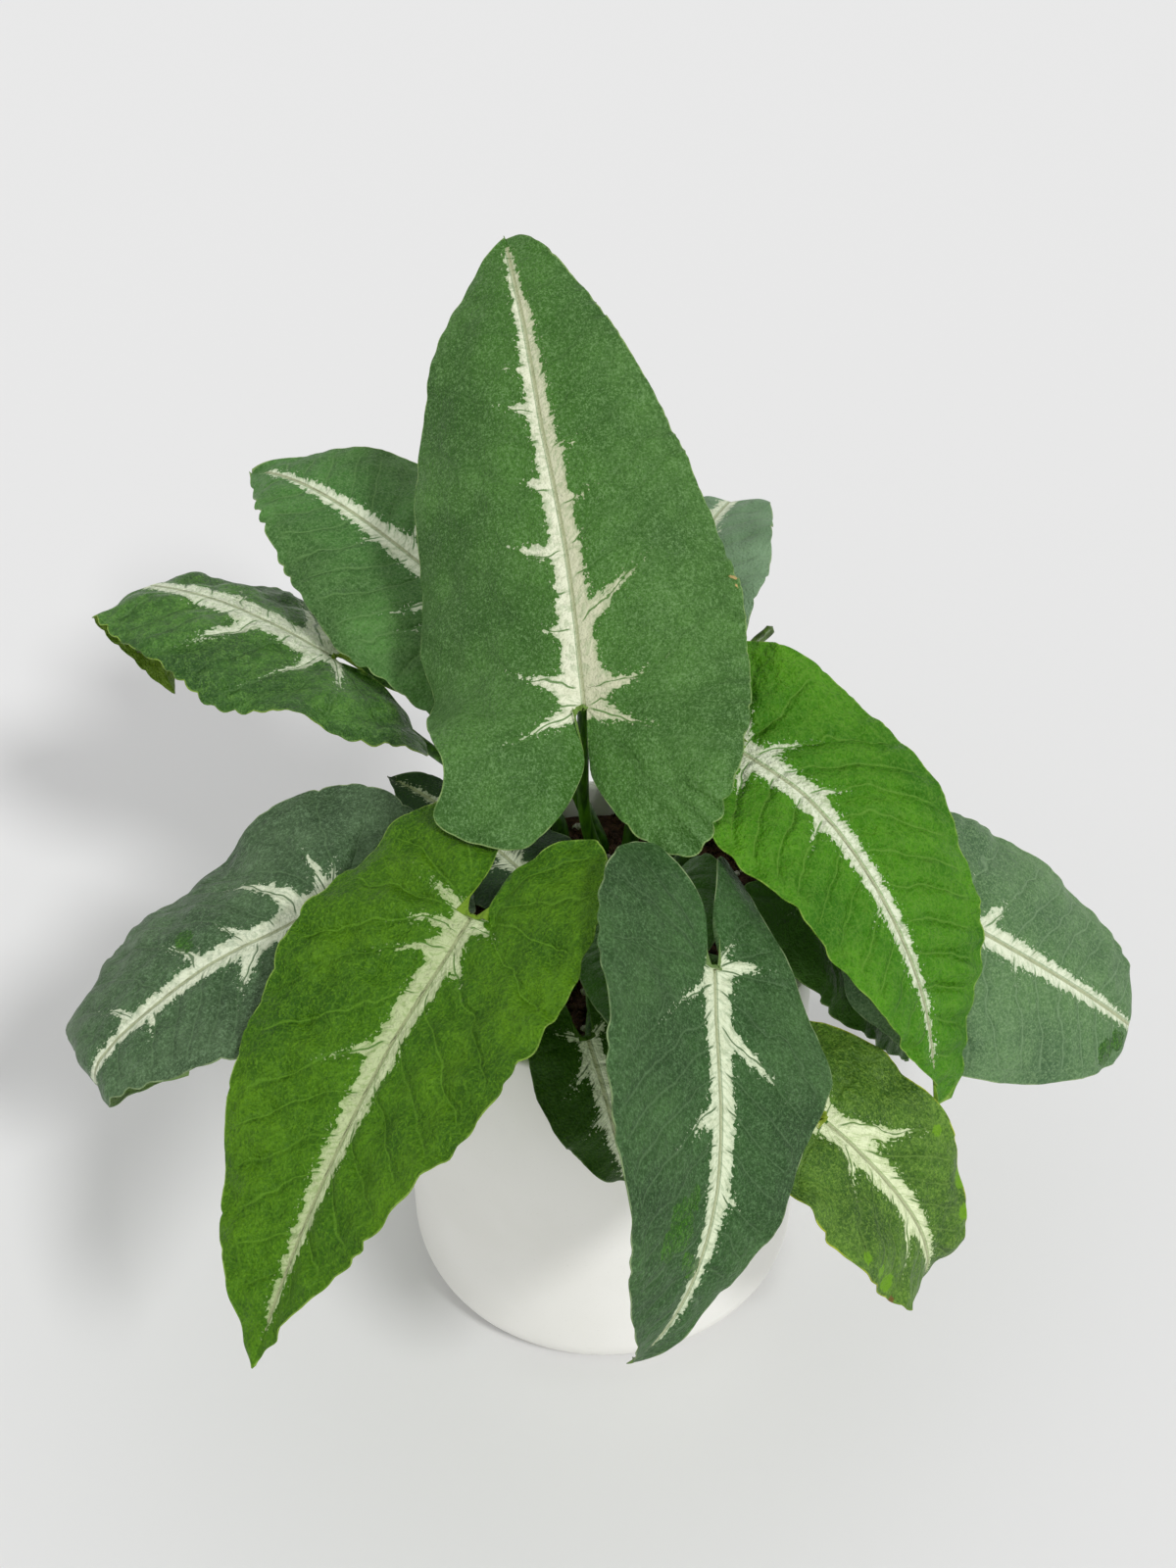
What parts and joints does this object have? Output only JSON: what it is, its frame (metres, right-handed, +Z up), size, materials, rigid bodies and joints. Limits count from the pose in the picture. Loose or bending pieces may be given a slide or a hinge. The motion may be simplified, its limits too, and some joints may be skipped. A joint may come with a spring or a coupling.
{
  "type": "potted syngonium wendlandii",
  "caption": "Potted aroid house plant with silver-veined arrowhead leaves on upright stalks, in a plain round pot, free-standing on the pot's flat base.",
  "frame": {"origin": "middle of the pot's flat base, on the surface that it stands on", "axes": "+Z up along the pot's axis, +X to the right and +Y away from the viewer in the picture"},
  "size_m": [0.3212, 0.2975, 0.2876],
  "materials": {
    "pot_glaze": "satin",
    "soil": "matte",
    "leaf_mid_green": "satin",
    "leaf_grey_green": "satin",
    "leaf_bright_green": "satin",
    "leaf_yellow_green": "satin",
    "leaf_dark_green": "satin",
    "leaf_rolled": "satin"
  },
  "bodies": {
    "root": {"pot": "pot_glaze", "soil": "soil", "leaf_tall": "leaf_mid_green", "leaf_back_left": "leaf_mid_green", "leaf_left_upper": "leaf_mid_green", "leaf_left_lower": "leaf_grey_green", "leaf_front_left": "leaf_bright_green", "leaf_front": "leaf_grey_green", "leaf_right": "leaf_bright_green", "leaf_far_right": "leaf_grey_green", "leaf_front_right": "leaf_yellow_green", "leaf_back_right": "leaf_grey_green", "leaf_under_right": "leaf_dark_green", "leaf_over_rim": "leaf_dark_green", "leaf_under_left": "leaf_dark_green", "leaf_under_front": "leaf_grey_green", "rolled_leaf": "leaf_rolled"}
  },
  "joints": []
}
